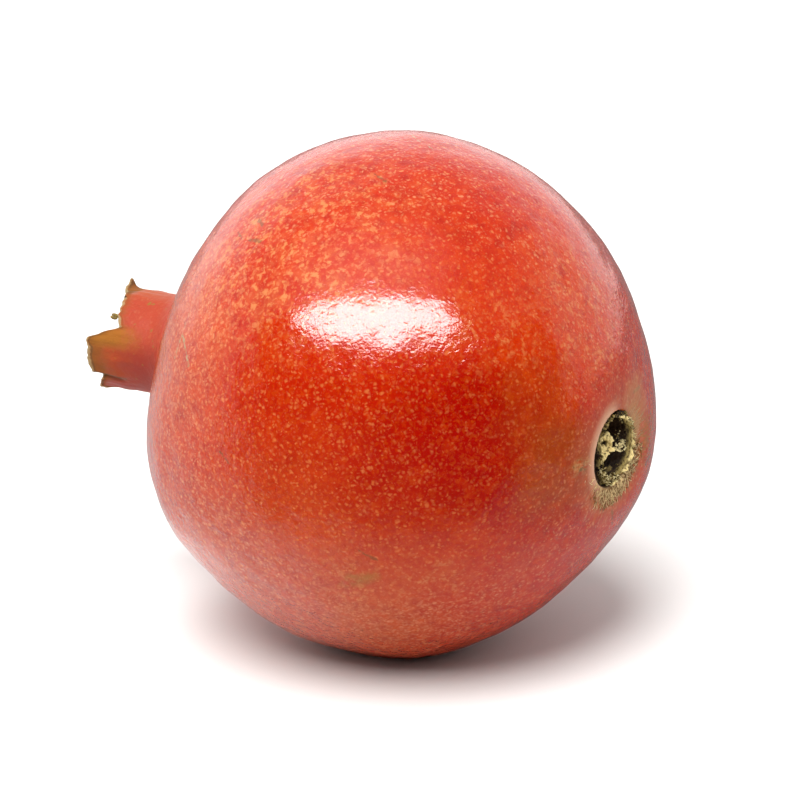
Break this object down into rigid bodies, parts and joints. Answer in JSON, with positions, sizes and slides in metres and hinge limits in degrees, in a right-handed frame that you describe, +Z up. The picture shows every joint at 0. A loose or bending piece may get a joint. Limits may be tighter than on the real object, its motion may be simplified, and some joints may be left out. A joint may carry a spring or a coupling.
{
  "type": "pomegranate",
  "caption": "Whole ripe pomegranate lying on its side, with a short crown-like calyx at one end and a torn stem scar at the other.",
  "frame": {"origin": "middle of the flat resting spot under the fruit, on the ground", "axes": "+Z up, away from the ground; +X from the calyx along the fruit towards the stem scar"},
  "size_m": [0.1018, 0.0877, 0.088],
  "materials": {
    "rind": "smooth waxy rind, orange red with fine yellow specks, brown on the dried calyx edges",
    "dried_stamen": "dull dry filaments and anthers",
    "stalk_wood": "dull, torn and fibrous"
  },
  "bodies": {
    "root": {"fruit": "rind", "stamens": "dried_stamen", "stem_stub": "stalk_wood"}
  },
  "joints": []
}
